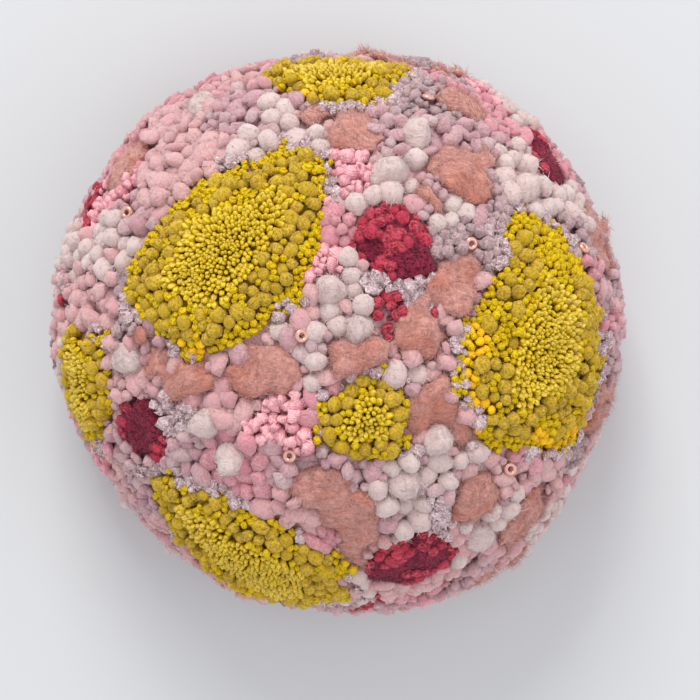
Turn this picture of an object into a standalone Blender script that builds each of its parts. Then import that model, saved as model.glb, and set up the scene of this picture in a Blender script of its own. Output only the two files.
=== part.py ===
"""A round, domed wall piece of textile art, worked all over in dense yarn pile.

The piece is one plump filled dome. Its ground of blush knots is a lumpy solid with a flat back, and each
patch of another yarn is a mat of its own, seated in a pocket of that ground: mustard blooms, crimson
clusters, rust roving pads and cream roving puffs.

Frame: the back lies on the wall plane y = 0, the front faces -Y, +Z is up, and the origin is the middle of
the back.
"""

import math
from collections import namedtuple

import bmesh
import bpy
from mathutils import Vector, noise

MM = 0.001

# The dome, measured over the pile.
WIDTH = 195 * MM
HEIGHT = 192 * MM
CROWN_FROM_WALL = 94 * MM
WIDEST_FROM_WALL = 26 * MM
TUCK_BEHIND_WIDEST = 38 * MM  # how soon the side would close behind the widest line, if the wall didn't end it
PLUMPNESS = 2.15  # 2 is an ellipse; more is fuller at the shoulder
HEART = Vector((0, -WIDEST_FROM_WALL, 0))  # every reach is measured from here

# The hand-worked outline is a little uneven.
Wave = namedtuple("Wave", "waves swell crest_clock")
OUTLINE_WAVES = (
    Wave(2, 0.0097, 148),
    Wave(3, 0.0148, 45),
    Wave(6, 0.0080, 26),
)

# The pile rises in soft lumps, a few knots wide, with creases between them.
LUMP_WIDTH = 14 * MM
LUMP_HEIGHT = 3 * MM
LUMP_FULL_AT = 0.42  # share of a lump's width from its crease to where it is at full height
TIDY_EDGE = 12 * MM  # the lumps fade out this far from the wall, where the cloth is turned to the back
GROUND_CELLS = 28  # faces along each side of the ground's cage

# How a mat sits in its pocket.
PILE_DEPTH = 5.5 * MM  # from the knots' tops down to the cloth that they are worked through
SEAT_GAP = 0.4 * MM
POCKET_TAPER = 0.94  # the foot of a mat is this share of its width
CUTTER_RISE = 8 * MM  # a pocket's cutter stands this far above the pile

# Where each mat lies: right and up from the middle, as seen from the front, and its size over the curve of
# the dome. Turn is anticlockwise, bend bows the long axis, phase turns the uneven edge, rise is the height
# over the ground's pile, and cells is how finely its face is cut, along each side.
Mat = namedtuple("Mat", "name right up wide tall turn bend phase rise yarn cells")
MATS = (
    Mat("bloom_main", -37, 27, 86, 52, 38, 11, 20, 3.4, "mustard", 11),
    Mat("bloom_east", 66, -6, 56, 84, -6, -4, 75, 3.4, "mustard", 10),
    Mat("bloom_south", -31, -75, 84, 42, -22, 5, 140, 3.0, "mustard", 10),
    Mat("bloom_heart", 9, -30, 30, 26, 15, 0, 200, 2.6, "mustard", 5),
    Mat("bloom_north", -2, 85, 50, 30, -2, 3, 250, 2.6, "mustard", 7),
    Mat("bloom_west", -86, -20, 26, 46, 12, 0, 310, 2.6, "mustard", 6),
    Mat("crimson_upper", 18, 27, 30, 22, -35, 0, 30, 2.2, "crimson", 5),
    Mat("crimson_lower", 23, -77, 32, 21, 20, 2, 110, 2.0, "crimson", 5),
    Mat("crimson_side", -65, -33, 19, 22, 30, 0, 190, 2.0, "crimson", 4),
    Mat("crimson_shoulder", 69, 58, 24, 16, -42, 0, 260, 2.0, "crimson", 4),
    Mat("rust_pad_1", 40, 51, 24, 17, -30, 0, 40, 1.6, "rust", 4),
    Mat("rust_pad_2", -24, -14, 26, 17, 10, 0, 90, 1.6, "rust", 4),
    Mat("rust_pad_3", 25, -1, 16, 21, 25, 0, 160, 1.6, "rust", 4),
    Mat("rust_pad_4", -6, -52, 24, 15, 5, 0, 210, 1.6, "rust", 4),
    Mat("rust_pad_5", -72, 56, 17, 22, -48, 0, 280, 1.6, "rust", 4),
    Mat("rust_pad_6", 62, -64, 25, 16, 46, 0, 330, 1.6, "rust", 4),
    Mat("rust_pad_7", 4, 64, 19, 15, -10, 0, 55, 1.6, "rust", 4),
    Mat("rust_pad_8", -50, -18, 20, 12, 24, 0, 125, 1.6, "rust", 4),
    Mat("rust_pad_9", 45, -56, 19, 13, 30, 0, 235, 1.6, "rust", 4),
    Mat("rust_pad_10", 40, 76, 19, 13, -24, 0, 305, 1.6, "rust", 4),
    Mat("cream_puff_1", -3, 12, 12, 11, 0, 0, 10, 3.6, "cream", 3),
    Mat("cream_puff_2", 6, 0, 11, 12, 30, 0, 60, 3.6, "cream", 3),
    Mat("cream_puff_3", 16, 51, 14, 11, 20, 0, 120, 3.6, "cream", 3),
    Mat("cream_puff_4", 25, 64, 12, 12, 0, 0, 170, 3.6, "cream", 3),
    Mat("cream_puff_5", 32, -37, 12, 10, 50, 0, 230, 3.6, "cream", 3),
    Mat("cream_puff_6", 21, -51, 13, 11, 15, 0, 290, 3.6, "cream", 3),
    Mat("cream_puff_7", -44, -31, 12, 11, 70, 0, 340, 3.6, "cream", 3),
    Mat("cream_puff_8", -36, -43, 11, 12, 25, 0, 15, 3.6, "cream", 3),
    Mat("cream_puff_9", -47, 76, 12, 11, 40, 0, 65, 3.6, "cream", 3),
    Mat("cream_puff_10", -71, -10, 11, 12, 10, 0, 95, 3.6, "cream", 3),
    Mat("cream_puff_11", 62, 47, 11, 12, 0, 0, 155, 3.6, "cream", 3),
    Mat("cream_puff_12", 47, -70, 12, 11, 30, 0, 205, 3.6, "cream", 3),
)

# Each yarn's colour, as red, green and blue of 255, and its roughness.
Yarn = namedtuple("Yarn", "red green blue roughness")
YARNS = {
    "blush": Yarn(203, 156, 165, 0.95),
    "mustard": Yarn(190, 152, 22, 0.7),
    "crimson": Yarn(128, 38, 54, 0.9),
    "rust": Yarn(181, 117, 104, 0.95),
    "cream": Yarn(219, 196, 193, 0.95),
}


def clear_scene():
    for thing in list(bpy.data.objects):
        bpy.data.objects.remove(thing)


def collection(name):
    made = bpy.data.collections.new(name)
    bpy.context.scene.collection.children.link(made)
    return made


def yarn_material(name):
    yarn = YARNS[name]
    made = bpy.data.materials.new(name)
    made.use_nodes = True
    linear = [(part / 255) ** 2.2 for part in (yarn.red, yarn.green, yarn.blue)]
    shader = made.node_tree.nodes["Principled BSDF"]
    shader.inputs["Base Color"].default_value = (*linear, 1)
    shader.inputs["Roughness"].default_value = yarn.roughness
    made.diffuse_color = (*linear, 1)
    return made


def half_breadth(direction):
    """From the dome's axis to its widest line, at this direction's place round the clock."""
    clock = math.atan2(direction.x, direction.z)
    oval = math.hypot(math.sin(clock) * WIDTH / 2, math.cos(clock) * HEIGHT / 2)
    uneven = sum(w.swell * math.cos(w.waves * (clock - math.radians(w.crest_clock))) for w in OUTLINE_WAVES)
    return oval * (1 + uneven)


def form_reach(direction):
    """From the heart of the dome to its smooth surface, at the level of the pile's tops."""
    aside = math.hypot(direction.x, direction.z) / half_breadth(direction)
    depth = CROWN_FROM_WALL - WIDEST_FROM_WALL if direction.y < 0 else TUCK_BEHIND_WIDEST
    ahead = abs(direction.y) / depth
    return (aside**PLUMPNESS + ahead**PLUMPNESS) ** (-1 / PLUMPNESS)


def smooth_step(share):
    share = min(1, max(0, share))
    return share * share * (3 - 2 * share)


def lump(direction):
    """Height of the pile's lumps: round tops over cells of uneven size, down to creases between them."""
    reach = form_reach(direction)
    nearest = noise.voronoi(direction * (reach / LUMP_WIDTH))[0]
    top = math.sqrt(min(1, (nearest[1] - nearest[0]) / LUMP_FULL_AT))
    from_wall = WIDEST_FROM_WALL - direction.y * reach
    return LUMP_HEIGHT * (top - 0.5) * smooth_step(from_wall / TIDY_EDGE)


def direction_at(right, up):
    """Where a place seen from the front lies on the dome, as a direction from its heart."""
    aside = Vector((right, 0, up))
    share = aside.length / half_breadth(aside)
    ahead = (CROWN_FROM_WALL - WIDEST_FROM_WALL) * (1 - share**PLUMPNESS) ** (1 / PLUMPNESS)
    return Vector((right, -ahead, up)).normalized()


def ball_cage(cells):
    """A unit ball with faces of an even size: a cube, cut into cells along each side and blown up round."""
    cage = bmesh.new()
    bmesh.ops.create_cube(cage, size=2)
    bmesh.ops.subdivide_edges(cage, edges=cage.edges[:], cuts=cells - 1, use_grid_fill=True)
    for corner in cage.verts:
        corner.co = Vector([math.tan(part * math.pi / 4) for part in corner.co]).normalized()
    return cage


def plug_cage(cells):
    """A round plug of unit radius, from z = -1 to 1, its two faces cut into cells along each side."""
    cage = bmesh.new()
    bmesh.ops.create_cube(cage, size=2)
    level = [edge for edge in cage.edges if edge.verts[0].co.z == edge.verts[1].co.z]
    bmesh.ops.subdivide_edges(cage, edges=level, cuts=cells - 1, use_grid_fill=True)
    for corner in cage.verts:
        x, y = corner.co.x, corner.co.y
        corner.co.x = x * math.sqrt(1 - y * y / 2)
        corner.co.y = y * math.sqrt(1 - x * x / 2)
    return cage


def new_object(name, cage, material, home):
    bmesh.ops.triangulate(cage, faces=cage.faces[:])
    cage.normal_update()
    bmesh.ops.recalc_face_normals(cage, faces=cage.faces[:])
    mesh = bpy.data.meshes.new(name)
    cage.to_mesh(mesh)
    cage.free()
    mesh.materials.append(material)
    made = bpy.data.objects.new(name, mesh)
    home.objects.link(made)
    return made


def ground(material, home):
    """The filled dome: its pile surface in lumps, closed by the flat back on the wall plane."""
    cage = ball_cage(GROUND_CELLS)
    for corner in cage.verts:
        direction = corner.co.copy()
        corner.co = HEART + direction * (form_reach(direction) + lump(direction))
    everything = cage.verts[:] + cage.edges[:] + cage.faces[:]
    bmesh.ops.bisect_plane(cage, geom=everything, plane_co=(0, 0, 0), plane_no=(0, 1, 0), clear_outer=True)
    bmesh.ops.holes_fill(cage, edges=[edge for edge in cage.edges if edge.is_boundary])
    return new_object("pile_ground", cage, material, home)


def place_on_dome(mat, across, along, lift):
    """A point of a mat: across and along are its own axes, as shares of half its size, and lift is outwards."""
    middle = direction_at(mat.right * MM, mat.up * MM)
    rightward = Vector((1, 0, 0)) - middle * middle.x
    rightward.normalize()
    upward = middle.cross(rightward)
    side = across * mat.wide / 2
    rise = along * mat.tall / 2 + mat.bend * (across * across - 0.5)
    turn = math.radians(mat.turn)
    right = (side * math.cos(turn) - rise * math.sin(turn)) * MM
    up = (side * math.sin(turn) + rise * math.cos(turn)) * MM
    direction = (middle * form_reach(middle) + rightward * right + upward * up).normalized()
    return direction, HEART + direction * (form_reach(direction) + lift)


def uneven_edge(mat, angle):
    """The mat's radius at this angle, as a share: hand-worked patches have soft lobes and no straight side."""
    phase = math.radians(mat.phase)
    return 1 + 0.08 * math.cos(3 * angle + phase) + 0.05 * math.cos(5 * angle - 2 * phase)


def mat_solid(mat, material, home):
    """One patch of yarn: a tapered plug of pile with a crowned, lumpy top."""
    cage = plug_cage(mat.cells)
    for corner in cage.verts:
        share = corner.co.xy.length
        edge = uneven_edge(mat, math.atan2(corner.co.y, corner.co.x))
        on_top = corner.co.z > 0
        taper = edge if on_top else edge * POCKET_TAPER
        across, along = corner.co.x * taper, corner.co.y * taper
        crown = mat.rise * MM * (1 - share**4)
        direction, place = place_on_dome(mat, across, along, crown if on_top else -PILE_DEPTH)
        corner.co = place + direction * lump(direction) * (1 - share**4) if on_top else place
    return new_object(mat.name, cage, material, home)


def pocket_cutter(mat, material, home):
    """The mat's plug again, a seat's gap larger all round and standing well out of the pile."""
    cage = plug_cage(mat.cells)
    gap = 2 * SEAT_GAP / MM
    larger = mat._replace(wide=mat.wide + gap, tall=mat.tall + gap)
    flare = 1 + (1 - POCKET_TAPER) * CUTTER_RISE / PILE_DEPTH
    for corner in cage.verts:
        edge = uneven_edge(mat, math.atan2(corner.co.y, corner.co.x))
        on_top = corner.co.z > 0
        taper = edge * flare if on_top else edge * POCKET_TAPER
        lift = CUTTER_RISE if on_top else -PILE_DEPTH - SEAT_GAP
        corner.co = place_on_dome(larger, corner.co.x * taper, corner.co.y * taper, lift)[1]
    made = new_object("pocket_" + mat.name, cage, material, home)
    made.hide_render = True
    made.display_type = "WIRE"
    return made


def build():
    clear_scene()
    parts = collection("Domed fibre art piece")
    cutters = collection("Pocket cutters")
    materials = {name: yarn_material(name) for name in YARNS}
    dome = ground(materials["blush"], parts)
    for mat in MATS:
        mat_solid(mat, materials[mat.yarn], parts)
        pocket_cutter(mat, materials[mat.yarn], cutters)
    pockets = dome.modifiers.new("pockets", "BOOLEAN")
    pockets.operation = "DIFFERENCE"
    pockets.operand_type = "COLLECTION"
    pockets.collection = cutters


build()
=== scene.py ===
"""The looks of a round, domed wall piece that is worked all over in knotted, looped and tufted yarns."""

import math
from collections import namedtuple

import bpy
import numpy as np
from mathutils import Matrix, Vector, kdtree, noise
from mathutils.bvhtree import BVHTree


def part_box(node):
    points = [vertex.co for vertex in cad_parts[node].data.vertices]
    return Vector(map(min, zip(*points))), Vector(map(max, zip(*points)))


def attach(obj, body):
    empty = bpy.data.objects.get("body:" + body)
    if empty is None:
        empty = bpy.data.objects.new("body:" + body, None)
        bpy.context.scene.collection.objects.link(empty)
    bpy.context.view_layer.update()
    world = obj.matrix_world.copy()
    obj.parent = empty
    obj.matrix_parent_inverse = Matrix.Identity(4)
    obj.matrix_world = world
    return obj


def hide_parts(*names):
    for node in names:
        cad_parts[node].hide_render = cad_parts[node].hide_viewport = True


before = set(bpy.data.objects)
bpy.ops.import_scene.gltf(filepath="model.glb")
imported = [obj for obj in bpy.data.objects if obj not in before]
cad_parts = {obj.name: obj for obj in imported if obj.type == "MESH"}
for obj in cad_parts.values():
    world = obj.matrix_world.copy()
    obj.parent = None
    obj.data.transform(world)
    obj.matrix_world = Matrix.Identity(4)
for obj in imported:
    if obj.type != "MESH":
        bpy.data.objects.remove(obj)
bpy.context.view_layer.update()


# The room: the piece hangs on a pale wall in soft daylight from the upper left, and the camera looks
# straight at it from 0.85 m in front of its widest line. The wall shows to the camera alone, and from its
# front alone, so that the piece can be looked at from behind as well.
MM = 0.001
WIDEST_FROM_WALL = 26 * MM
CAMERA_FROM_WIDEST = 850 * MM
FILM_WIDTH = 36
FRAME_WIDTH = 243.6 * MM
FRAME_RIGHT, FRAME_UP = 3.3 * MM, -7.1 * MM
WALL_SIZE = 6
WALL_BEHIND = 1 * MM
WALL_PAINT = (0.6, 0.61, 0.622, 1)
SKY = (0.96, 0.97, 1.0, 1)
SKY_STRENGTH = 0.93


def make_camera():
    made = bpy.data.objects.new("camera", bpy.data.cameras.new("camera"))
    made.data.sensor_width = FILM_WIDTH
    made.data.lens = FILM_WIDTH * CAMERA_FROM_WIDEST / FRAME_WIDTH
    made.location = (FRAME_RIGHT, -WIDEST_FROM_WALL - CAMERA_FROM_WIDEST, FRAME_UP)
    made.rotation_euler = (math.radians(90), 0, 0)
    bpy.context.scene.collection.objects.link(made)
    bpy.context.scene.camera = made


def add_light(name, place, size, watts, colour):
    """A square of light that faces the middle of the piece."""
    made = bpy.data.objects.new(name, bpy.data.lights.new(name, "AREA"))
    made.data.size = size
    made.data.energy = watts
    made.data.color = colour
    made.location = place
    made.rotation_euler = (-Vector(place)).to_track_quat("-Z", "Y").to_euler()
    bpy.context.scene.collection.objects.link(made)


def make_wall():
    upright = (math.radians(90), 0, 0)
    bpy.ops.mesh.primitive_plane_add(size=WALL_SIZE, location=(0, WALL_BEHIND, 0), rotation=upright)
    wall = bpy.context.object
    wall.name = "backdrop"
    paint = bpy.data.materials.new("wall paint")
    paint.use_nodes = True
    nodes, links = paint.node_tree.nodes, paint.node_tree.links
    shader = nodes["Principled BSDF"]
    shader.inputs["Base Color"].default_value = WALL_PAINT
    shader.inputs["Roughness"].default_value = 0.9
    side = nodes.new("ShaderNodeNewGeometry")
    clear = nodes.new("ShaderNodeBsdfTransparent")
    mixed = nodes.new("ShaderNodeMixShader")
    links.new(side.outputs["Backfacing"], mixed.inputs["Fac"])
    links.new(shader.outputs["BSDF"], mixed.inputs[1])
    links.new(clear.outputs["BSDF"], mixed.inputs[2])
    links.new(mixed.outputs["Shader"], nodes["Material Output"].inputs["Surface"])
    wall.data.materials.append(paint)
    wall.visible_diffuse = wall.visible_glossy = wall.visible_shadow = False


make_camera()
add_light("window", place=(-0.3, -1.4, 2.0), size=1.0, watts=35, colour=(1.0, 0.985, 0.955))
add_light("glint", place=(-0.5, -1.9, 1.5), size=0.2, watts=3, colour=(1.0, 1.0, 0.98))
add_light("bounce", place=(1.6, -1.6, -0.4), size=1.6, watts=7, colour=(1.0, 0.98, 0.97))
bpy.context.scene.world = bpy.data.worlds.new("room")
bpy.context.scene.world.use_nodes = True
sky = bpy.context.scene.world.node_tree.nodes["Background"]
sky.inputs["Color"].default_value = SKY
sky.inputs["Strength"].default_value = SKY_STRENGTH
bpy.context.scene.view_settings.view_transform = "Standard"
bpy.ops.object.select_all(action="DESELECT")
make_wall()


# The cloth. A round of firm cloth is gathered over a soft filling to a plump dome, and closed at the back
# with a flat round of linen. Between the knots it shows only as the shade under them, in their own dull
# colours. A survey of the solids all round the dome gives the places that the yarns are worked at.
HEART = Vector((0, -WIDEST_FROM_WALL, 0))
FAR_OUT = 0.3
PILE_DEPTH = 3.3 * MM
PILE_ENDS_FROM_WALL = 5.5 * MM
CLOTH_CELL = 3 * MM
BACK_BAND = 9 * MM
BACK_CLEAR_OF_WALL = 0.2 * MM
SPOTS = 46000
ANCHORS = 4000
GROUND_SHADE = (232, 184, 192)
SHADES = {
    "bloom_": (206, 166, 36),
    "crimson_": (96, 28, 46),
    "rust_pad_": (206, 146, 136),
    "cream_puff_": (240, 212, 208),
}
LINEN = (214, 205, 192)
BETWEEN_THREADS = (0.55, 0.5, 0.46, 1)
THREAD = 0.8 * MM
Hit = namedtuple("Hit", "place facing solid")
Spot = namedtuple("Spot", "place outwards solid inside")
chance = np.random.default_rng(11)
noise.seed_set(1)


def copy_of_solids(names, title):
    """The named solids' meshes, merged into one new object that is a piece of its own."""
    bpy.ops.object.select_all(action="DESELECT")
    for name in names:
        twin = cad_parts[name].copy()
        twin.data = twin.data.copy()
        bpy.context.scene.collection.objects.link(twin)
        twin.select_set(True)
        bpy.context.view_layer.objects.active = twin
    if len(names) > 1:
        bpy.ops.object.join()
    made = bpy.context.object
    made.name = made.data.name = title
    for key in [key for key in made.keys() if key.startswith("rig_")]:
        del made[key]
    made.data.materials.clear()
    bpy.ops.object.mode_set(mode="EDIT")
    bpy.ops.mesh.select_all(action="SELECT")
    bpy.ops.mesh.remove_doubles(threshold=0.00001)
    bpy.ops.object.mode_set(mode="OBJECT")
    return made


def add_modifier(thing, kind, **settings):
    modifier = thing.modifiers.new(kind.lower(), kind)
    for name, value in settings.items():
        setattr(modifier, name, value)


def apply_modifiers(thing):
    bpy.ops.object.select_all(action="DESELECT")
    thing.select_set(True)
    bpy.context.view_layer.objects.active = thing
    for modifier in list(thing.modifiers):
        bpy.ops.object.modifier_apply(modifier=modifier.name)


def shade_all_smooth(thing):
    thing.data.polygons.foreach_set("use_smooth", [True] * len(thing.data.polygons))


def near_tree(places):
    tree = kdtree.KDTree(len(places))
    for index, place in enumerate(places):
        tree.insert(place, index)
    tree.balance()
    return tree


def all_faces():
    """The solids' faces as one tree that rays can hit, and the solid that each face belongs to."""
    corners, faces, owners = [], [], []
    for name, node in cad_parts.items():
        first = len(corners)
        corners += [corner.co.copy() for corner in node.data.vertices]
        faces += [[first + corner for corner in face.vertices] for face in node.data.polygons]
        owners += [name] * len(node.data.polygons)
    return BVHTree.FromPolygons(corners, faces), owners


cloth = copy_of_solids(sorted(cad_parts), "worked_cloth")
add_modifier(cloth, "REMESH", mode="VOXEL", voxel_size=CLOTH_CELL)
add_modifier(cloth, "SMOOTH", iterations=14)
add_modifier(cloth, "DISPLACE", mid_level=0, strength=-PILE_DEPTH)
add_modifier(cloth, "SMOOTH", iterations=4)
apply_modifiers(cloth)
for corner in cloth.data.vertices:
    backness = min(1, max(0, (corner.co.y + BACK_BAND) / (BACK_BAND - PILE_DEPTH)))
    corner.co.y += backness * (PILE_DEPTH - BACK_CLEAR_OF_WALL)
shade_all_smooth(cloth)
form, owners = all_faces()


def hit_from(way):
    """Where the pile's surface lies in a direction from the dome's heart, how it faces, and the solid."""
    place, facing, face, _ = form.ray_cast(HEART + way * FAR_OUT, -way)
    return Hit(place, facing, owners[face])


survey = [hit_from(Vector(way).normalized()) for way in chance.normal(size=(SPOTS, 3))]
survey_tree = near_tree([hit.place for hit in survey])


def mean_way(ways):
    return sum(ways, Vector()).normalized()


def broad_facing(place):
    """The way that the dome faces near a place, with its lumps evened out."""
    return mean_way(survey[index].facing for _, index, _ in survey_tree.find_n(place, 100))


anchors = [(hit.place, broad_facing(hit.place)) for hit in survey[:ANCHORS]]
anchor_tree = near_tree([place for place, _ in anchors])


def way_out(place):
    return mean_way(anchors[index][1] for _, index, _ in anchor_tree.find_n(place, 6))


def at_border(hit):
    return any(survey[index].solid != hit.solid for _, index, _ in survey_tree.find_n(hit.place, 6))


borders = near_tree([hit.place for hit in survey if at_border(hit)])


def on_pile(hit):
    return hit.place.y < -PILE_ENDS_FROM_WALL


def spot_at(hit):
    """A place for yarn, with its way out and how far it is inside its solid's border."""
    return Spot(hit.place, way_out(hit.place), hit.solid, borders.find(hit.place)[2])


spots = [spot_at(hit) for hit in survey if on_pile(hit)]
edges = {solid: max(spot.inside for spot in spots if spot.solid == solid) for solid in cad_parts}


def finer_spots(solids, count, around=1.6 * MM):
    """More places on some of the solids, for yarns that are worked finely."""
    known = [spot for spot in spots if spot.solid in solids]
    picks = chance.integers(len(known), size=count)
    shifts = chance.normal(size=(count, 3)) * around
    tries = [known[pick].place + Vector(shift) - HEART for pick, shift in zip(picks, shifts)]
    hits = [hit_from(way.normalized()) for way in tries]
    return [spot_at(hit) for hit in hits if hit.solid in solids and on_pile(hit)]


def linear(colour):
    return [(part / 255) ** 2.2 for part in colour]


class Dye:
    """A number or colour on its way through a material. Arithmetic on it adds the Math nodes for it."""

    def __init__(self, finish, socket):
        self.finish, self.socket = finish, socket

    def maths(self, operation, first, second):
        return self.finish.node("Math", {"operation": operation}, {0: first, 1: second})

    def __add__(self, other):
        return self.maths("ADD", self, other)

    def __radd__(self, other):
        return self.maths("ADD", other, self)

    def __sub__(self, other):
        return self.maths("SUBTRACT", self, other)

    def __rsub__(self, other):
        return self.maths("SUBTRACT", other, self)

    def __mul__(self, other):
        return self.maths("MULTIPLY", self, other)

    def __rmul__(self, other):
        return self.maths("MULTIPLY", other, self)


class Finish:
    """A material in the making."""

    def __init__(self, name, **fixed):
        self.material = bpy.data.materials.new(name)
        self.material.use_nodes = True
        self.tree = self.material.node_tree
        self.shader = self.tree.nodes["Principled BSDF"]
        self.paint(**fixed)

    def set(self, node, socket, value):
        if isinstance(value, Dye):
            self.tree.links.new(value.socket, node.inputs[socket])
        else:
            node.inputs[socket].default_value = value

    def node(self, kind, settings=None, sockets=None, output=0):
        made = self.tree.nodes.new("ShaderNode" + kind)
        for name, value in (settings or {}).items():
            setattr(made, name, value)
        for name, value in (sockets or {}).items():
            self.set(made, name, value)
        return Dye(self, made.outputs[output])

    def place(self):
        """Where on the piece, in metres."""
        return self.node("TexCoord", output=3)

    def attribute(self, name, output="Fac"):
        return self.node("Attribute", {"attribute_name": name}, output=output)

    def part(self, vector, index):
        return self.node("SeparateXYZ", {}, {"Vector": vector}, output=index)

    def clamp(self, value):
        return self.node("Clamp", {}, {"Value": value})

    def wave(self, value):
        return self.node("Math", {"operation": "SINE"}, {0: value})

    def mottling(self, place, scale, detail, distortion=0.0):
        """Soft noise, from 0 to 1."""
        return self.node(
            "TexNoise", {}, {"Vector": place, "Scale": scale, "Detail": detail, "Distortion": distortion}
        )

    def bump(self, height, strength, distance):
        return self.node("Bump", {}, {"Strength": strength, "Distance": distance, "Height": height})

    def blend(self, share, first, second):
        """A colour between two, by a share from 0 to 1."""
        pair = [value if isinstance(value, Dye) else (*linear(value), 1) for value in (first, second)]
        return self.node("Mix", {"data_type": "RGBA"}, {0: share, 6: pair[0], 7: pair[1]}, output=2)

    def paint(self, **values):
        """Sets the shader's sockets, which go by their names in small letters, and gives the material."""
        for socket, value in values.items():
            self.set(self.shader, socket.replace("_", " ").title().replace("Ior", "IOR"), value)
        return self.material


def cloth_finish():
    """Woven linen: threads over and under each other, in the shade of the yarns above."""
    finish = Finish("linen cloth", roughness=0.92, sheen_weight=0.15, specular_ior_level=0.2)
    place = finish.place()
    across = finish.wave(finish.part(place, 0) * (math.pi / THREAD))
    up = finish.wave(finish.part(place, 2) * (math.pi / THREAD))
    weave = across * up
    slubs = finish.mottling(place, scale=900, detail=2)
    dull = finish.clamp(weave * 0.22 + slubs * 0.6)
    shade = finish.attribute("shade_below", "Color")
    darkened = {"data_type": "RGBA", "blend_type": "MULTIPLY"}
    colour = finish.node("Mix", darkened, {0: dull, 6: shade, 7: BETWEEN_THREADS}, output=2)
    return finish.paint(base_color=colour, normal=finish.bump(weave + slubs, 0.5, 0.15 * MM))


def shade_below(place):
    """The cloth's colour: in the shade of the yarns above it, and plain linen at the back."""
    if place.y > -PILE_ENDS_FROM_WALL:
        return (*linear(LINEN), 1)
    solid = survey[survey_tree.find(place)[1]].solid
    shades = [shade for start, shade in SHADES.items() if solid.startswith(start)]
    return (*linear(shades[0] if shades else GROUND_SHADE), 1)


tints = cloth.data.attributes.new("shade_below", "FLOAT_COLOR", "POINT")
tints.data.foreach_set("color", [part for corner in cloth.data.vertices for part in shade_below(corner.co)])
cloth.data.materials.append(cloth_finish())
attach(cloth, "root")
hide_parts("pile_ground")


# The mustard blooms. Fine glossy loops stand close in the middle of each, small at its heart and larger
# outwards. Fat olive puffs ring them, and yellow knots and amber ones make the uneven edge. Each kind of
# knot is modelled in a few unlike shapes, of unit size with the top at +Z, and worked in many copies.
MODELS_APART = 7
FIBRES_FROM, FIBRES_ROOTED = -0.35, 0.94
SINK_VARIES = 0.16
WIDTHS, HEIGHTS = (0.86, 1.2), (0.88, 1.12)
MODEL_PICKS = 60
LAY_SHIFT = 5.3
HAIR_CORNERS = np.array([(1, 0, 0), (-0.5, 0.87, 0), (-0.5, -0.87, 0), (0, 0, 1)])
HAIR_FACES = ((0, 1, 3), (1, 2, 3), (2, 0, 3), (0, 2, 1))
Model = namedtuple("Model", "corners faces uvs smooth")
Manner = namedtuple("Manner", "wide tall sink closeness lean")
Choice = namedtuple("Choice", "spot size upright lift", defaults=(None, 0))
Knot = namedtuple("Knot", "place upright size wide tall turn shade shape")


def unit_ball(seed, segments, rings, uneven, grain):
    """A ball pushed in and out by soft noise, which is other for each seed."""
    bpy.ops.object.select_all(action="DESELECT")
    bpy.ops.mesh.primitive_uv_sphere_add(
        segments=segments,
        ring_count=rings,
        radius=1,
        location=(MODELS_APART * seed, 0, 0),
    )
    made = bpy.context.object
    clouds = bpy.data.textures.new("clouds", "CLOUDS")
    clouds.noise_scale = grain
    add_modifier(made, "DISPLACE", texture=clouds, texture_coords="GLOBAL", strength=uneven)
    apply_modifiers(made)
    bpy.data.textures.remove(clouds)
    return made


def press(knot, chosen, resize):
    """Resizes the chosen corners of a model in edit mode."""
    for corner in knot.data.vertices:
        corner.select = bool(chosen(corner.co))
    bpy.ops.object.mode_set(mode="EDIT")
    bpy.context.tool_settings.mesh_select_mode = (True, False, False)
    bpy.ops.transform.resize(value=resize, center_override=knot.location)
    bpy.ops.object.mode_set(mode="OBJECT")


def frames(uprights, turns):
    """Two sideways axes and an upright for each knot or fibre, as rows of a matrix."""
    up = uprights / np.linalg.norm(uprights, axis=1)[:, None]
    helper = np.where(np.abs(up[:, :1]) < 0.8, [[1.0, 0, 0]], [[0, 0, 1.0]])
    side = np.cross(up, helper)
    side /= np.linalg.norm(side, axis=1)[:, None]
    ahead = np.cross(up, side)
    turn = turns[:, None]
    turned_side = side * np.cos(turn) + ahead * np.sin(turn)
    turned_ahead = ahead * np.cos(turn) - side * np.sin(turn)
    return np.stack([turned_side, turned_ahead, up], 1)


def hairs(roots, ways, lengths, thick):
    """Closed three-sided fibres, each from its root along its way, as corners and faces."""
    sizes = np.stack([np.full(len(roots), thick), np.full(len(roots), thick), lengths], 1)
    axes = frames(ways, np.zeros(len(roots)))
    corners = np.einsum("vi,ni,nij->nvj", HAIR_CORNERS, sizes, axes) + roots[:, None]
    faces = [[4 * hair + corner for corner in face] for hair in range(len(roots)) for face in HAIR_FACES]
    return corners.reshape(-1, 3), faces


def faces_in_order(mesh):
    """The faces and their UVs in one fixed order, because that of a new ball changes from run to run."""
    uvs = mesh.uv_layers.active.data
    rounds = []
    for face in mesh.polygons:
        loops = [(mesh.loops[at].vertex_index, tuple(uvs[at].uv)) for at in face.loop_indices]
        start = loops.index(min(loops))
        rounds.append(loops[start:] + loops[:start])
    rounds.sort()
    faces = [[corner for corner, _ in loops] for loops in rounds]
    return faces, np.array([uv for loops in rounds for _, uv in loops])


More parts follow.
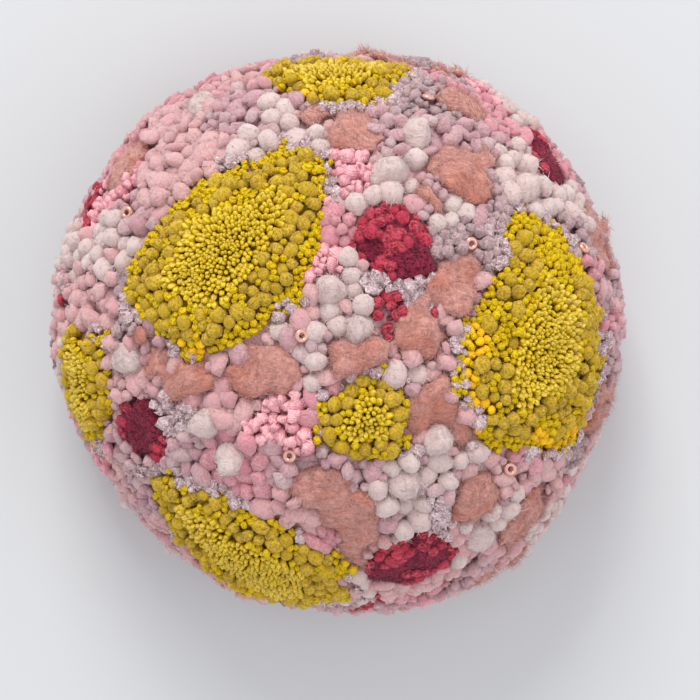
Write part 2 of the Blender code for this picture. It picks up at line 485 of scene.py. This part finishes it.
def model_of(knot, fibres=0, length=0.5, thick=0.04, spread=1.7):
    """The model's corners, faces and UVs, with loose fibres added; its object is put away."""
    luck = np.random.default_rng(int(knot.location.x))
    corners = np.array([corner.co for corner in knot.data.vertices])
    faces, uvs = faces_in_order(knot.data)
    bpy.data.objects.remove(knot)
    smooth = [True] * len(faces)
    if not fibres:
        return Model(corners, faces, uvs, smooth)
    outer = [face for face in faces if corners[face][:, 2].min() > FIBRES_FROM]
    picks = [outer[int(part * len(outer))] for part in luck.random(fibres)]
    pulls = luck.random((fibres, 4))
    rooted = [
        np.average(corners[face], axis=0, weights=pull[: len(face)])
        for face, pull in zip(picks, pulls)
    ]
    roots = np.array(rooted)
    ways = roots / np.linalg.norm(roots, axis=1)[:, None] + luck.normal(size=roots.shape) * spread
    more, more_faces = hairs(roots * FIBRES_ROOTED, ways, length * luck.uniform(0.6, 1.3, fibres), thick)
    faces += [[len(corners) + corner for corner in face] for face in more_faces]
    uvs = np.concatenate([uvs, np.zeros((12 * fibres, 2))])
    return Model(np.concatenate([corners, more]), faces, uvs, smooth + [False] * len(more_faces))


def bun(seed, segments=9, rings=6, uneven=1.15, fibres=14):
    """A soft round knot of wool with its foot drawn in."""
    knot = unit_ball(seed, segments, rings, uneven, grain=0.9)
    press(knot, lambda at: at.z < -0.3, (0.75, 0.75, 1))
    return model_of(knot, fibres)


def double_bun(seed, segments=9, rings=6, fibres=14):
    """Two turns of the yarn side by side, with a crease between them."""
    knot = unit_ball(seed, segments, rings, uneven=0.8, grain=0.8)
    press(knot, lambda at: abs(at.y) < 0.3 and at.z > 0, (0.88, 1, 0.78))
    press(knot, lambda at: True, (1, 1.1, 1))
    return model_of(knot, fibres)


def coiled_bun(seed, segments=9, rings=6, fibres=14):
    """A knot seen down its coil: the top is pressed in."""
    knot = unit_ball(seed, segments, rings, uneven=0.6, grain=0.8)
    press(knot, lambda at: at.z > 0.8, (1, 1, 0.72))
    return model_of(knot, fibres)


def lobe(seed):
    """A fine loop that stands up, seen as a seed from above."""
    return model_of(unit_ball(seed, segments=6, rings=5, uneven=0.35, grain=0.8))


standing = []


def work(choices, manner):
    """Works knots at the chosen places wherever there is room for them."""
    tree = near_tree([choice.spot.place for choice in choices])
    widest = max(choice.size for choice in choices)
    taken = [False] * len(choices)

    def make_room(place, size):
        for _, index, gap in tree.find_range(place, manner.closeness * (size + widest)):
            if gap < manner.closeness * (size + choices[index].size):
                taken[index] = True

    for place, size in standing:
        make_room(place, size)
    knots = []
    for index, choice in enumerate(choices):
        if taken[index]:
            continue
        spot, size = choice.spot, choice.size
        make_room(spot.place, size)
        standing.append((spot.place, size))
        upright = (choice.upright or spot.outwards) + Vector(chance.normal(size=3)) * manner.lean
        sink = manner.sink + SINK_VARIES * chance.normal()
        place = spot.place + spot.outwards * (choice.lift - size * sink)
        wide, tall = manner.wide * chance.uniform(*WIDTHS), manner.tall * chance.uniform(*HEIGHTS)
        turn, shade = chance.uniform(0, 2 * math.pi), chance.uniform(-1, 1)
        shape = int(chance.integers(MODEL_PICKS))
        knots.append(Knot(place, upright, size, wide, tall, turn, shade, shape))
    return knots


def give_attributes(mesh, **values):
    for name, numbers in values.items():
        numbers = np.asarray(numbers, np.float32)
        kind, key = ("FLOAT", "value") if numbers.ndim == 1 else ("FLOAT_VECTOR", "vector")
        mesh.attributes.new(name, kind, "POINT").data.foreach_set(key, numbers.ravel())


def piece_of(name, corners, faces, smooth):
    mesh = bpy.data.meshes.new(name)
    mesh.from_pydata(corners, [], faces)
    mesh.polygons.foreach_set("use_smooth", smooth)
    made = bpy.data.objects.new(name, mesh)
    bpy.context.scene.collection.objects.link(made)
    return made


def dress(piece, finish, slot, *stands_for):
    """Gives a finished piece its material and its body, and hides the solids that it stands for. The slot
    is not used.
    """
    piece.data.materials.append(finish)
    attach(piece, "root")
    if stands_for:
        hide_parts(*stands_for)


def pile_of(name, models, knots):
    """One piece made of many knots, with what the yarn's finish reads: how light each knot is, how high up
    the knot a place is, which the finish turns into painted shade towards the knot's foot, and where on the
    knot it lies."""
    corners, faces, smooth, uvs, shades, depths, lays = [], [], [], [], [], [], []
    first = 0
    for index, model in enumerate(models):
        mine = [knot for knot in knots if knot.shape % len(models) == index]
        if not mine:
            continue
        shape, count = model.corners, len(mine)
        places = np.array([knot.place for knot in mine])
        sizes = np.array([[knot.size, knot.size * knot.wide, knot.size * knot.tall] for knot in mine])
        axes = frames(np.array([knot.upright for knot in mine]), np.array([knot.turn for knot in mine]))
        corners.append((np.einsum("vi,ni,nij->nvj", shape, sizes, axes) + places[:, None]).reshape(-1, 3))
        starts = first + len(shape) * np.arange(count)
        faces += [[start + corner for corner in face] for start in starts for face in model.faces]
        smooth += model.smooth * count
        uvs.append(np.tile(model.uvs, (count, 1)))
        shades.append(np.repeat([knot.shade for knot in mine], len(shape)))
        depths.append(np.tile((shape[:, 2] + 1) / 2, count))
        lays.append((shape[None] + np.arange(count)[:, None, None] * LAY_SHIFT).reshape(-1, 3))
        first += len(shape) * count
    made = piece_of(name, np.concatenate(corners), faces, smooth)
    yarn = made.data.uv_layers.new(name="yarn")
    yarn.data.foreach_set("uv", np.concatenate(uvs).astype(np.float32).ravel())
    give_attributes(
        made.data,
        shade=np.concatenate(shades),
        depth=np.concatenate(depths),
        lay=np.concatenate(lays),
    )
    return made


SOFT = {"subsurface_weight": 0.2, "subsurface_scale": 1 * MM, "subsurface_radius": (1, 0.7, 0.6)}


def wool_finish(title, foot, top, other, grain=1.0, mottle=None, sheen=0.3, rings=0, specks=1.0):
    """Matte, soft wool: painted shade makes it darker towards each knot's foot, between the knots, and
    lighter at the tops, with felted fibres that show as a grain. Its other colour is that of some of the
    knots, or comes in patches where mottle says how sharply."""
    finish = Finish(
        title,
        roughness=0.9,
        sheen_weight=sheen,
        sheen_roughness=0.6,
        specular_ior_level=0.15,
        **SOFT,
    )
    lay, place = finish.attribute("lay", "Vector"), finish.place()
    drawn_out = finish.node("VectorMath", {"operation": "MULTIPLY"}, {0: lay, 1: (0.8, 5.0, 2.4)})
    fibres = finish.mottling(drawn_out, scale=1.5, detail=3, distortion=1.2)
    grit = finish.mottling(place, scale=1300, detail=3)
    depth, shade = finish.attribute("depth"), finish.attribute("shade")
    fibre_light = (fibres - 0.5) * 2.4 * grain
    grit_light = (grit - 0.5) * 2.6 * grain * specks
    # Painted light and shade: depth makes each knot lighter at its top and darker towards its foot, between
    # the knots; fibres, grit and each knot's own tone add grain and tone.
    light = depth * 0.45 + 0.25 + fibre_light + grit_light + shade * 0.25
    if rings:
        yarn = finish.node("UVMap", {"uv_map": "yarn"})
        turns = finish.wave((finish.part(yarn, 1) * rings + finish.part(yarn, 0)) * math.tau)
        # Painted shade: the coil's turns show as light and dark rings in the colour, darker between the
        # turns, besides their relief in the bump.
        light = light + turns * 0.12
        fibres = fibres + turns * 0.3
    if mottle:
        broad = finish.mottling(place, scale=75, detail=2, distortion=0.6)
        odd = (broad - 0.48) * mottle
    else:
        odd = shade * 1.6 - 0.2
    colour = finish.blend(finish.clamp(light), foot, finish.blend(finish.clamp(odd), top, other))
    return finish.paint(base_color=colour, normal=finish.bump(fibres + grit * 0.5, 0.8 * grain, 0.8 * MM))


def spun_finish(title, foot, top, roughness, plies, slant, relief, gloss, coat=0.0):
    """Spun yarn: its plies run round each knot in a slant and catch the light, as relief and as painted
    light and dark stripes; painted shade darkens each knot towards its foot.
    """
    finish = Finish(
        title,
        roughness=roughness,
        specular_ior_level=gloss,
        coat_weight=coat,
        coat_roughness=0.2,
        **SOFT,
    )
    yarn = finish.node("UVMap", {"uv_map": "yarn"})
    waves = finish.wave((finish.part(yarn, 0) * plies + finish.part(yarn, 1) * slant) * math.tau)
    grit = finish.mottling(finish.place(), scale=1700, detail=2)
    depth, shade = finish.attribute("depth"), finish.attribute("shade")
    # Painted light and shade: depth makes each knot lighter at its top and darker towards its foot, and the
    # plies' waves paint light and dark stripes along them; grit and each knot's own tone add grain and
    # tone.
    light = depth * 1.25 - 0.25 + waves * 0.16 + (grit - 0.5) * 1.2 + shade * 0.25
    colour = finish.blend(finish.clamp(light), foot, top)
    return finish.paint(base_color=colour, normal=finish.bump(waves + grit * 1.5, relief, 0.35 * MM))


def solids_named(start):
    return sorted(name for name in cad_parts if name.startswith(start))


hubs = {solid: sum(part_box(solid), Vector()) / 2 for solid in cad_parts}


def away_from_hub(spot):
    """From the middle of the spot's solid to the spot, along the surface."""
    out = spot.place - hubs[spot.solid]
    return (out - spot.outwards * out.dot(spot.outwards)).normalized()


def share_inside(spot):
    """From 0 at the border of the spot's solid to 1 at its middle."""
    return spot.inside / edges[spot.solid]


def vary(size, by=0.1):
    """A knot's size in metres, from its usual size in millimetres."""
    return size * MM * chance.uniform(1 - by, 1 + by)


def drift(place, waves, shift=(0, 0, 0)):
    """Soft noise over the dome, from -1 to 1, with about that many waves to a metre."""
    return noise.noise(place * waves + Vector(shift))


def clump_lift(place, size, height):
    """Knots that are worked in clumps stand highest at the middle of each clump."""
    return (0.5 - noise.voronoi(place / size)[0][0]) * height


LOOPS = Manner(wide=1.08, tall=2.0, sink=1.1, closeness=0.58, lean=0.15)
PUFFS = Manner(wide=1.0, tall=0.72, sink=0.38, closeness=0.54, lean=0.25)
LOBES = Manner(wide=1.08, tall=1.1, sink=0.7, closeness=0.62, lean=0.3)
KNOBS = Manner(wide=1.0, tall=0.95, sink=0.55, closeness=0.68, lean=0.25)
BLOOMS = solids_named("bloom_")


def bitten(spot):
    """Where the ground's yarns reach into a bloom, so that its edge is ragged."""
    return spot.inside < 8 * MM * drift(spot.place, 62, (3, 0, 3))


def overlaid(spot):
    """Where the ground's knots lie over the edge of a rust pad."""
    return spot.solid.startswith("rust") and spot.inside < 5 * MM * drift(spot.place, 80)


fine = [spot for spot in finer_spots(BLOOMS, 38000) if not bitten(spot)]


def in_core(spot):
    return share_inside(spot) > 0.56 + 0.2 * drift(spot.place, 70)


def core_loop(spot):
    """A loop of the core: 0.84 mm at the bloom's heart, and up to 1.5 mm and splayed further out."""
    share = share_inside(spot)
    splay = spot.outwards + away_from_hub(spot) * 0.9 * (1 - share)
    return Choice(spot, vary(1.5 - 0.66 * min(1, max(0, share - 0.4) / 0.45)), splay)


def in_ring(spot):
    if spot.solid not in BLOOMS or not 0.15 < share_inside(spot) < 0.78:
        return False
    return drift(spot.place, 60, (5, 0, 0)) > -0.4


def is_amber(spot):
    """Amber knots lie in patches at the lower left edge of each bloom."""
    low_left = away_from_hub(spot).dot(Vector((-0.7, 0, -0.7)))
    return share_inside(spot) < 0.24 and low_left > 0.3 and drift(spot.place, 60) > 0.14


core = [core_loop(spot) for spot in fine if in_core(spot)]
ring = [Choice(spot, vary(3.5, 0.2)) for spot in spots if in_ring(spot)]
loops = work(core, LOOPS)
olive = work(ring, PUFFS)
amber = work([Choice(spot, vary(1.8)) for spot in fine if is_amber(spot)], KNOBS)
outside = finer_spots(["pile_ground"], 60000)
bloom_tree = near_tree([spot.place for spot in fine])


def strays(spot):
    """Where a bloom's yellow knots reach out over the ground."""
    reaches = spot.inside < 9 * MM * drift(spot.place, 62)
    return reaches and bloom_tree.find(spot.place)[2] < spot.inside + 1 * MM


filling = fine + [spot for spot in outside if strays(spot)]


def filling_knot(spot):
    return Choice(spot, vary(1.4, 0.2), lift=clump_lift(spot.place, 4.8 * MM, 2.4 * MM))


yellow = work([filling_knot(spot) for spot in filling], LOBES)
fat = [bun(seed, segments=10, rings=8, uneven=0.8, fibres=20) for seed in (10, 11, 12)]
coil_kinds = ((7, coiled_bun), (8, coiled_bun), (9, double_bun))
coils = [make(seed, segments=8, rings=6, fibres=8) for seed, make in coil_kinds]
fine_lobes = [lobe(seed) for seed in (14, 15, 16)]
# Each finish's foot colour is painted shade, for the knots' feet between them, and its top colour is for
# the lit tops.
silk = spun_finish(
    "mustard silk",
    foot=(162, 123, 0),
    top=(238, 202, 2),
    roughness=0.38,
    plies=3,
    slant=1.5,
    relief=0.7,
    gloss=0.7,
    coat=0.45,
)
olive_wool = wool_finish(
    "olive wool",
    foot=(163, 127, 16),
    top=(220, 183, 52),
    other=(206, 169, 32),
    grain=1.1,
    sheen=0.15,
)
yellow_wool = spun_finish(
    "yellow wool",
    foot=(197, 154, 0),
    top=(236, 200, 4),
    roughness=0.65,
    plies=3,
    slant=2,
    relief=1.0,
    gloss=0.3,
)
amber_wool = spun_finish(
    "amber wool",
    foot=(214, 146, 8),
    top=(255, 204, 34),
    roughness=0.7,
    plies=5,
    slant=2,
    relief=0.5,
    gloss=0.25,
)
dress(pile_of("mustard_loops", fine_lobes, loops), silk, "mustard_pile", *BLOOMS)
dress(pile_of("olive_puffs", fat, olive), olive_wool, "mustard_pile")
dress(pile_of("yellow_knots", fine_lobes, yellow), yellow_wool, "mustard_pile")
dress(pile_of("amber_knots", coils, amber), amber_wool, "mustard_pile")


# The beads: a few small copper-pink rings, sewn to the cloth before the yarns are worked round them, with
# their holes showing.
BEADS = 7
BEADS_APART = 30 * MM
BEAD_RADIUS, BEAD_HALF_THICK = 1.5 * MM, 0.75 * MM
BEAD_ROOM = 3.4 * MM
BEAD_LIFT = 0.3 * MM


def in_ground(spot):
    """The ground's own places, and those where its yarns reach over a bloom's or a pad's edge."""
    return spot.solid == "pile_ground" or (spot.solid in BLOOMS and bitten(spot)) or overlaid(spot)


ground = [spot for spot in spots if in_ground(spot)]
bead_spots = []
for spot in ground:
    apart = all((spot.place - other.place).length > BEADS_APART for other in bead_spots)
    if len(bead_spots) < BEADS and apart and spot.outwards.y < -0.6 and spot.inside > 3 * MM:
        bead_spots.append(spot)
        standing.append((spot.place, BEAD_ROOM))
rings = []
for spot in bead_spots:
    tilt = (spot.outwards + Vector(chance.normal(size=3)) * 0.3).to_track_quat("Z", "Y").to_euler()
    bpy.ops.object.select_all(action="DESELECT")
    bpy.ops.mesh.primitive_torus_add(
        major_radius=BEAD_RADIUS,
        minor_radius=BEAD_HALF_THICK,
        major_segments=20,
        minor_segments=10,
        location=spot.place + spot.outwards * BEAD_LIFT,
        rotation=tilt,
    )
    rings.append(bpy.context.object)


def join(kept, *others):
    bpy.ops.object.select_all(action="DESELECT")
    for thing in (kept, *others):
        thing.select_set(True)
    bpy.context.view_layer.objects.active = kept
    bpy.ops.object.join()


join(rings[0], *rings[1:])
bpy.ops.object.transform_apply(location=True, rotation=True, scale=True)
bpy.ops.object.shade_smooth()
rings[0].name = rings[0].data.name = "ring_beads"
copper = Finish("copper pink glaze", roughness=0.22, metallic=0.55, coat_weight=0.6, coat_roughness=0.1)
flow = copper.mottling(copper.place(), scale=700, detail=1)
dress(rings[0], copper.paint(base_color=copper.blend(flow, (196, 134, 116), (236, 186, 168))), "beads")


# The crimson clusters: part of each is velvety burgundy cut pile, and part is coiled raspberry wool knots.
# A few more raspberry knots lie in the ground, where each small cluster of knots has its own yarn.
FELT_CELL = 1.2 * MM
FELT_LUMPS = 4 * MM
LAY_GRAIN = 5 * MM
ROOTS_IN = 0.4
COILS = Manner(wide=0.98, tall=0.75, sink=0.4, closeness=0.56, lean=0.25)
CRIMSONS = solids_named("crimson_")
CLUSTERS = 210
CLUSTER_SHARES = {
    "blush": 0.15,
    "mauve": 0.13,
    "lilac": 0.1,
    "rose": 0.14,
    "coral": 0.055,
    "metallic": 0.05,
    "cream": 0.25,
    "rust": 0.075,
    "crimson": 0.05,
}
cluster_tree = near_tree([spot.place for spot in ground[:CLUSTERS]])
cluster_yarns = chance.choice(list(CLUSTER_SHARES), CLUSTERS, p=list(CLUSTER_SHARES.values()))


def yarn_at(spot):
    """The yarn of the cluster that a place belongs to, with the clusters' edges made uneven."""
    wander = noise.noise_vector(spot.place * 110) * 4 * MM
    return cluster_yarns[cluster_tree.find(spot.place + wander)[1]]


ground_yarns = [(spot, yarn_at(spot)) for spot in ground]


def felted(title, solids, sunk, uneven, small=None, smoothing=7):
    """The solids' forms and the small knots among them, felted into one soft skin."""
    pads = copy_of_solids(solids, title)
    if small:
        join(pads, small)
    clouds = bpy.data.textures.new("felt", "CLOUDS")
    clouds.noise_scale = FELT_LUMPS
    add_modifier(pads, "REMESH", mode="VOXEL", voxel_size=FELT_CELL)
    add_modifier(pads, "SMOOTH", iterations=smoothing)
    add_modifier(pads, "DISPLACE", mid_level=0, strength=-sunk)
    add_modifier(pads, "DISPLACE", texture=clouds, texture_coords="LOCAL", strength=uneven)
    apply_modifiers(pads)
    bpy.data.textures.remove(clouds)
    shade_all_smooth(pads)
    return pads


def add_fibres(pads, per_square_mm, length, thick, upright):
    """Fibres all over the skin's outer side, from lying in swirls to standing upright."""
    points = np.array([corner.co for corner in pads.data.vertices])
    normals = np.array([corner.normal for corner in pads.data.vertices])
    out = points - np.array(HEART)
    out /= np.linalg.norm(out, axis=1)[:, None]
    rise = (normals * out).sum(1)
    # Painted shade: the skin's colour is darker where it faces away from the dome's outward way, at the
    # sides of the pads and puffs, and lighter where it faces out.
    depth = np.clip(0.2 + 0.7 * rise, 0, 1)
    give_attributes(pads.data, shade=np.zeros(len(points)), depth=depth, lay=points / LAY_GRAIN)
    upper = np.flatnonzero(rise > -0.05)
    count = int(len(upper) * (FELT_CELL / MM) ** 2 * per_square_mm)
    luck = np.random.default_rng(5)
    picks = upper[(luck.random(count) * len(upper)).astype(int)]
    scatter = luck.normal(size=(count, 3)) * ROOTS_IN * MM
    roots = points[picks] + scatter - normals[picks] * ROOTS_IN * MM
    swirl = np.cross(normals[picks], np.array([noise.noise_vector(Vector(at) * 60) for at in roots]))
    swirl /= np.linalg.norm(swirl, axis=1)[:, None]
    rising = normals[picks] * luck.uniform(*upright, count)[:, None]
    ways = swirl + rising + luck.normal(size=(count, 3)) * 0.4
    corners, faces = hairs(roots, ways, length * luck.uniform(0.5, 1.4, count), thick)
    fibres = piece_of("fibres", corners, faces, [False] * len(faces))
    give_attributes(
        fibres.data,
        shade=np.repeat(luck.uniform(-0.9, 0.9, count), 4),
        # The fibres are painted nearly as light as the skin where it faces out.
        depth=np.full(4 * count, 0.85),
        lay=corners / LAY_GRAIN,
    )
    join(pads, fibres)


def in_coils(spot):
    return spot.solid in CRIMSONS and drift(spot.place, 75, (0, 9, 0)) > 0.04


coiled = [spot for spot in spots if in_coils(spot)]
coiled += [spot for spot, yarn in ground_yarns if yarn == "crimson" and spot.inside < 12 * MM]
raspberry = work([Choice(spot, vary(2.3, 0.2)) for spot in coiled], COILS)
velvet = felted("burgundy_cut_pile", CRIMSONS, sunk=0.7 * MM, uneven=1.2 * MM, smoothing=4)
add_fibres(velvet, per_square_mm=3.0, length=1.2 * MM, thick=0.13 * MM, upright=(1.2, 2.6))
# Each finish's foot colour is painted shade, for the knots' feet and the velvet's sides, and its top colour
# is for the lit tops.
raspberry_wool = wool_finish(
    "raspberry wool",
    foot=(128, 22, 44),
    top=(226, 86, 104),
    other=(202, 60, 84),
    grain=1.1,
    sheen=0.1,
    rings=3,
)
burgundy_velvet = wool_finish(
    "burgundy velvet",
    foot=(66, 8, 26),
    top=(158, 46, 74),
    other=(132, 30, 56),
    grain=1.1,
    mottle=4,
    sheen=0.12,
)
dress(pile_of("raspberry_knots", coils, raspberry), raspberry_wool, "crimson_pile")
dress(velvet, burgundy_velvet, "crimson_pile", *CRIMSONS)


# The roving: unspun wool, laid on in broad rust pads and in round cream puffs and held by a hidden stitch.
# The large ones are felted in their solids' own forms, and smaller ones are worked among the knots.
PADS = Manner(wide=1.0, tall=0.42, sink=0.24, closeness=0.42, lean=0.12)
SOFT_PUFFS = Manner(wide=1.04, tall=0.7, sink=0.36, closeness=0.53, lean=0.25)
RUST_PADS, CREAM_PUFFS = solids_named("rust_pad"), solids_named("cream_puff")


def nearness(spot):
    """How large the knots are: full size at the crown, smaller towards the wall."""
    return 0.72 + 0.48 * max(0, -spot.outwards.y)


def on_pad_edge(spot):
    return spot.solid in RUST_PADS and spot.inside < 1.5 * MM and not overlaid(spot)


pad_edges = [spot for spot in spots if on_pad_edge(spot)]
rust = [spot for spot, yarn in ground_yarns if yarn == "rust" and spot.inside > 3 * MM]
cream = [spot for spot, yarn in ground_yarns if yarn == "cream" and spot.inside > 1.5 * MM]
edging = work([Choice(spot, vary(3.2, 0.3)) for spot in pad_edges], PADS)
small_pads = work([Choice(spot, vary(5.6 * nearness(spot), 0.25)) for spot in rust], PADS)
small_puffs = work([Choice(spot, vary(4.8 * nearness(spot), 0.2)) for spot in cream], SOFT_PUFFS)
plain_buns = [bun(seed, segments=12, rings=9, uneven=0.6, fibres=0) for seed in (30, 31, 32)]
pads = felted(
    "rust_pads",
    RUST_PADS,
    sunk=0.5 * MM,
    uneven=1.1 * MM,
    small=pile_of("small_pads", plain_buns, edging + small_pads),
)
add_fibres(pads, per_square_mm=1.1, length=2.9 * MM, thick=0.12 * MM, upright=(0.2, 1.1))
puffs = felted("cream_puffs", CREAM_PUFFS, sunk=0.2 * MM, uneven=1.2 * MM, smoothing=4)
add_fibres(puffs, per_square_mm=1.3, length=2.6 * MM, thick=0.11 * MM, upright=(0.0, 0.6))
soft_buns = [bun(seed, segments=11, rings=8, uneven=0.65, fibres=30) for seed in (40, 41, 42)]
join(puffs, pile_of("small_puffs", soft_buns, small_puffs))
# The foot colour is painted shade, where the skin faces away from the dome's outward way, and the top
# colour is where it faces out.
rust_roving = wool_finish(
    "rust roving",
    foot=(158, 98, 89),
    top=(211, 154, 143),
    other=(205, 134, 114),
    grain=0.85,
    mottle=6,
    specks=0.5,
)
cream_roving = wool_finish(
    "cream roving",
    foot=(203, 175, 172),
    top=(215, 196, 191),
    other=(211, 186, 182),
    grain=0.9,
    specks=0.6,
)
dress(pads, rust_roving, "rust_roving", *RUST_PADS)
dress(puffs, cream_roving, "cream_roving", *CREAM_PUFFS)


# The ground: wool knots in blush, mauve, lilac and rose, ends of coral ribbon, and tufts of metallic yarn,
# which also edge the blooms. Large knots go in first, and smaller ones of the same yarn fill the gaps.
WOOL = Manner(wide=1.06, tall=0.68, sink=0.42, closeness=0.53, lean=0.45)
RIBBON = Manner(wide=0.8, tall=1.0, sink=0.5, closeness=0.55, lean=0.5)
CRINKLED = Manner(wide=1.0, tall=0.85, sink=0.4, closeness=0.5, lean=0.4)
KNOT_SIZES = {"blush": 4.1, "mauve": 3.5, "lilac": 2.4, "rose": 3.7, "coral": 2.3, "metallic": 2.1}
MANNERS = {"coral": RIBBON, "metallic": CRINKLED}
FULL_SIZE, GAP_SIZE = 1.0, 0.6
# Each wool's foot colour is painted shade, for the knots' feet between them, and its top colour is for the
# lit tops.
WOOLS = {
    "blush": {"foot": (204, 150, 153), "top": (219, 176, 173), "other": (213, 157, 161)},
    "mauve": {"foot": (186, 138, 145), "top": (208, 166, 170), "other": (206, 178, 178)},
    "lilac": {"foot": (174, 135, 140), "top": (214, 183, 183), "other": (206, 168, 173), "grain": 1.4},
    "rose": {"foot": (197, 126, 137), "top": (224, 162, 167), "other": (213, 139, 151)},
}


def ground_yarn(spot, yarn):
    """The yarn round what is worked already: metallic along the blooms, and blush or mauve round the roving
    and the raspberry knots."""
    if bloom_tree.find(spot.place)[2] < 5 * MM and drift(spot.place, 60) > 0.03:
        return "metallic"
    if yarn in ("cream", "rust", "crimson"):
        return "blush" if drift(spot.place, 70) > 0 else "mauve"
    return yarn


by_yarn = {yarn: [] for yarn in KNOT_SIZES}
for spot, yarn in ground_yarns:
    by_yarn[ground_yarn(spot, yarn)].append(spot)
ground_knots = {yarn: [] for yarn in KNOT_SIZES}
for shrink in (FULL_SIZE, GAP_SIZE):
    for yarn, size in KNOT_SIZES.items():
        choices = [Choice(spot, vary(size * shrink * nearness(spot), 0.2)) for spot in by_yarn[yarn]]
        ground_knots[yarn] += work(choices, MANNERS.get(yarn, WOOL))


def curl(seed):
    """A small, tightly curled knot."""
    return model_of(unit_ball(seed, segments=8, rings=6, uneven=1.4, grain=0.5), fibres=6)


def crinkled_tuft(seed):
    """A tuft of stiff, shiny yarn, crinkled like foil, with a few ends that stick out."""
    ball = unit_ball(seed, segments=8, rings=6, uneven=1.5, grain=0.3)
    tuft = model_of(ball, fibres=4, length=0.6, thick=0.12, spread=0.8)
    return tuft._replace(smooth=[False] * len(tuft.smooth))


def ribbon_end(seed):
    """The cut end of a narrow satin ribbon, gathered in pleats."""
    ball = unit_ball(seed, segments=8, rings=6, uneven=1.5, grain=0.42)
    return model_of(ball, fibres=4, length=0.9, thick=0.07, spread=0.6)


def glitter_finish():
    """Pale yarn with strips of metal foil spun in: some faces of it flash. Painted shade darkens each tuft
    towards its foot.
    """
    finish = Finish("metallic yarn", specular_ior_level=0.6)
    flecks = finish.mottling(finish.place(), scale=1500, detail=2)
    foil = finish.clamp((flecks - 0.48) * 9)
    depth, shade = finish.attribute("depth"), finish.attribute("shade")
    # Painted shade: depth makes each tuft darker towards its foot; the flecks and each tuft's own tone add
    # grain and tone.
    light = finish.clamp(depth * 1.4 - 0.4 + (flecks - 0.5) * 1.2 + shade * 0.2)
    yarn = finish.blend(light, (138, 102, 108), (204, 176, 180))
    return finish.paint(
        base_color=finish.blend(foil * 0.8, yarn, (232, 218, 218)),
        metallic=foil * 0.6,
        roughness=0.8 - foil * 0.4,
        normal=finish.bump(flecks, 1.0, 0.9 * MM),
    )


def satin_finish():
    """Satin ribbon: fine light and dark lines run along its pleats, and painted shade darkens each end
    towards its foot.
    """
    finish = Finish("coral satin", roughness=0.42, specular_ior_level=0.5)
    lay = finish.attribute("lay", "Vector")
    lines = finish.wave(finish.part(lay, 0) * 26)
    grit = finish.mottling(lay, scale=3, detail=2)
    depth, shade = finish.attribute("depth"), finish.attribute("shade")
    # Painted shade: depth makes each ribbon end darker towards its foot.
    light = finish.clamp(depth - 0.1 + lines * 0.08 + (grit - 0.5) * 1.5 + shade * 0.2)
    colour = finish.blend(light, (196, 112, 126), (250, 186, 192))
    return finish.paint(base_color=colour, normal=finish.bump(lines * 0.5 + grit, 0.6, 0.3 * MM))


buns = [bun(1), bun(2), double_bun(3), bun(4), coiled_bun(5), double_bun(6)]
curls = [curl(seed) for seed in (27, 28, 29)]
for yarn, colours in WOOLS.items():
    knots = pile_of(yarn + "_knots", curls if yarn == "lilac" else buns, ground_knots[yarn])
    dress(knots, wool_finish(yarn + " wool", **colours), "blush_pile")
ribbon_ends = [ribbon_end(seed) for seed in (21, 22, 23)]
dress(pile_of("coral_ribbon", ribbon_ends, ground_knots["coral"]), satin_finish(), "blush_pile")
tufts = [crinkled_tuft(seed) for seed in (24, 25, 26)]
dress(pile_of("metallic_tufts", tufts, ground_knots["metallic"]), glitter_finish(), "metallic_yarn")
